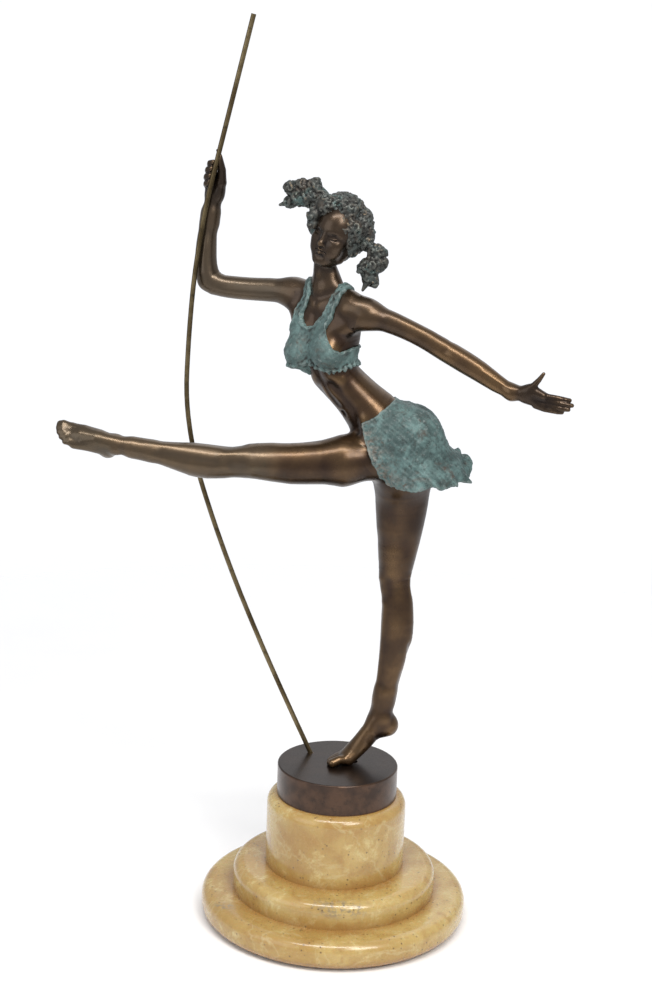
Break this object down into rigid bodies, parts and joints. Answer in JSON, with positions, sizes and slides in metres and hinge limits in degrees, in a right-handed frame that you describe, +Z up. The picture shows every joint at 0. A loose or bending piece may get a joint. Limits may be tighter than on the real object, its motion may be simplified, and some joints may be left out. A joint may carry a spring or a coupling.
{
  "type": "bronze statuette",
  "caption": "Bronze dancer on one toe with the other leg raised, holding a tall bowed rod, on a bronze drum and a stepped round marble base.",
  "frame": {"origin": "centre of the base's flat underside", "axes": "+Z up along the base's axis, the dancer faces and lifts her leg towards -X, her open arm reaches towards +X, her left side is towards -Y"},
  "size_m": [0.2498, 0.14, 0.4637],
  "materials": {
    "marble": "polished golden yellow marble with orange clouds, pale patches and pits",
    "felt": "matt green felt",
    "plinth_bronze": "dark reddish-brown patinated bronze, satin",
    "skin_bronze": "brown patinated bronze, polished gold on the high spots",
    "hair_patina": "dark grey-green patina over brown bronze",
    "cloth_verdigris": "mottled blue-green verdigris, matt, rubbed paler on the folds",
    "rod_brass": "olive-brown brass rod, satin",
    "steel": "zinc-plated steel"
  },
  "bodies": {
    "root": {"stone_base": "marble", "felt_pad": "felt", "bronze_plinth": "plinth_bronze", "fixing_stud": "steel", "fixing_washer": "steel", "fixing_nut": "steel", "rod_lower": "rod_brass", "rod_upper": "rod_brass", "torso": "skin_bronze", "supporting_leg": "skin_bronze", "raised_leg": "skin_bronze", "raised_arm": "skin_bronze", "open_arm": "skin_bronze", "gripping_hand": "skin_bronze", "head": "skin_bronze", "hair_cap": "hair_patina", "hair_bunch_upper": "hair_patina", "hair_bunch_lower": "hair_patina", "bodice": "cloth_verdigris", "skirt": "cloth_verdigris"}
  },
  "joints": []
}
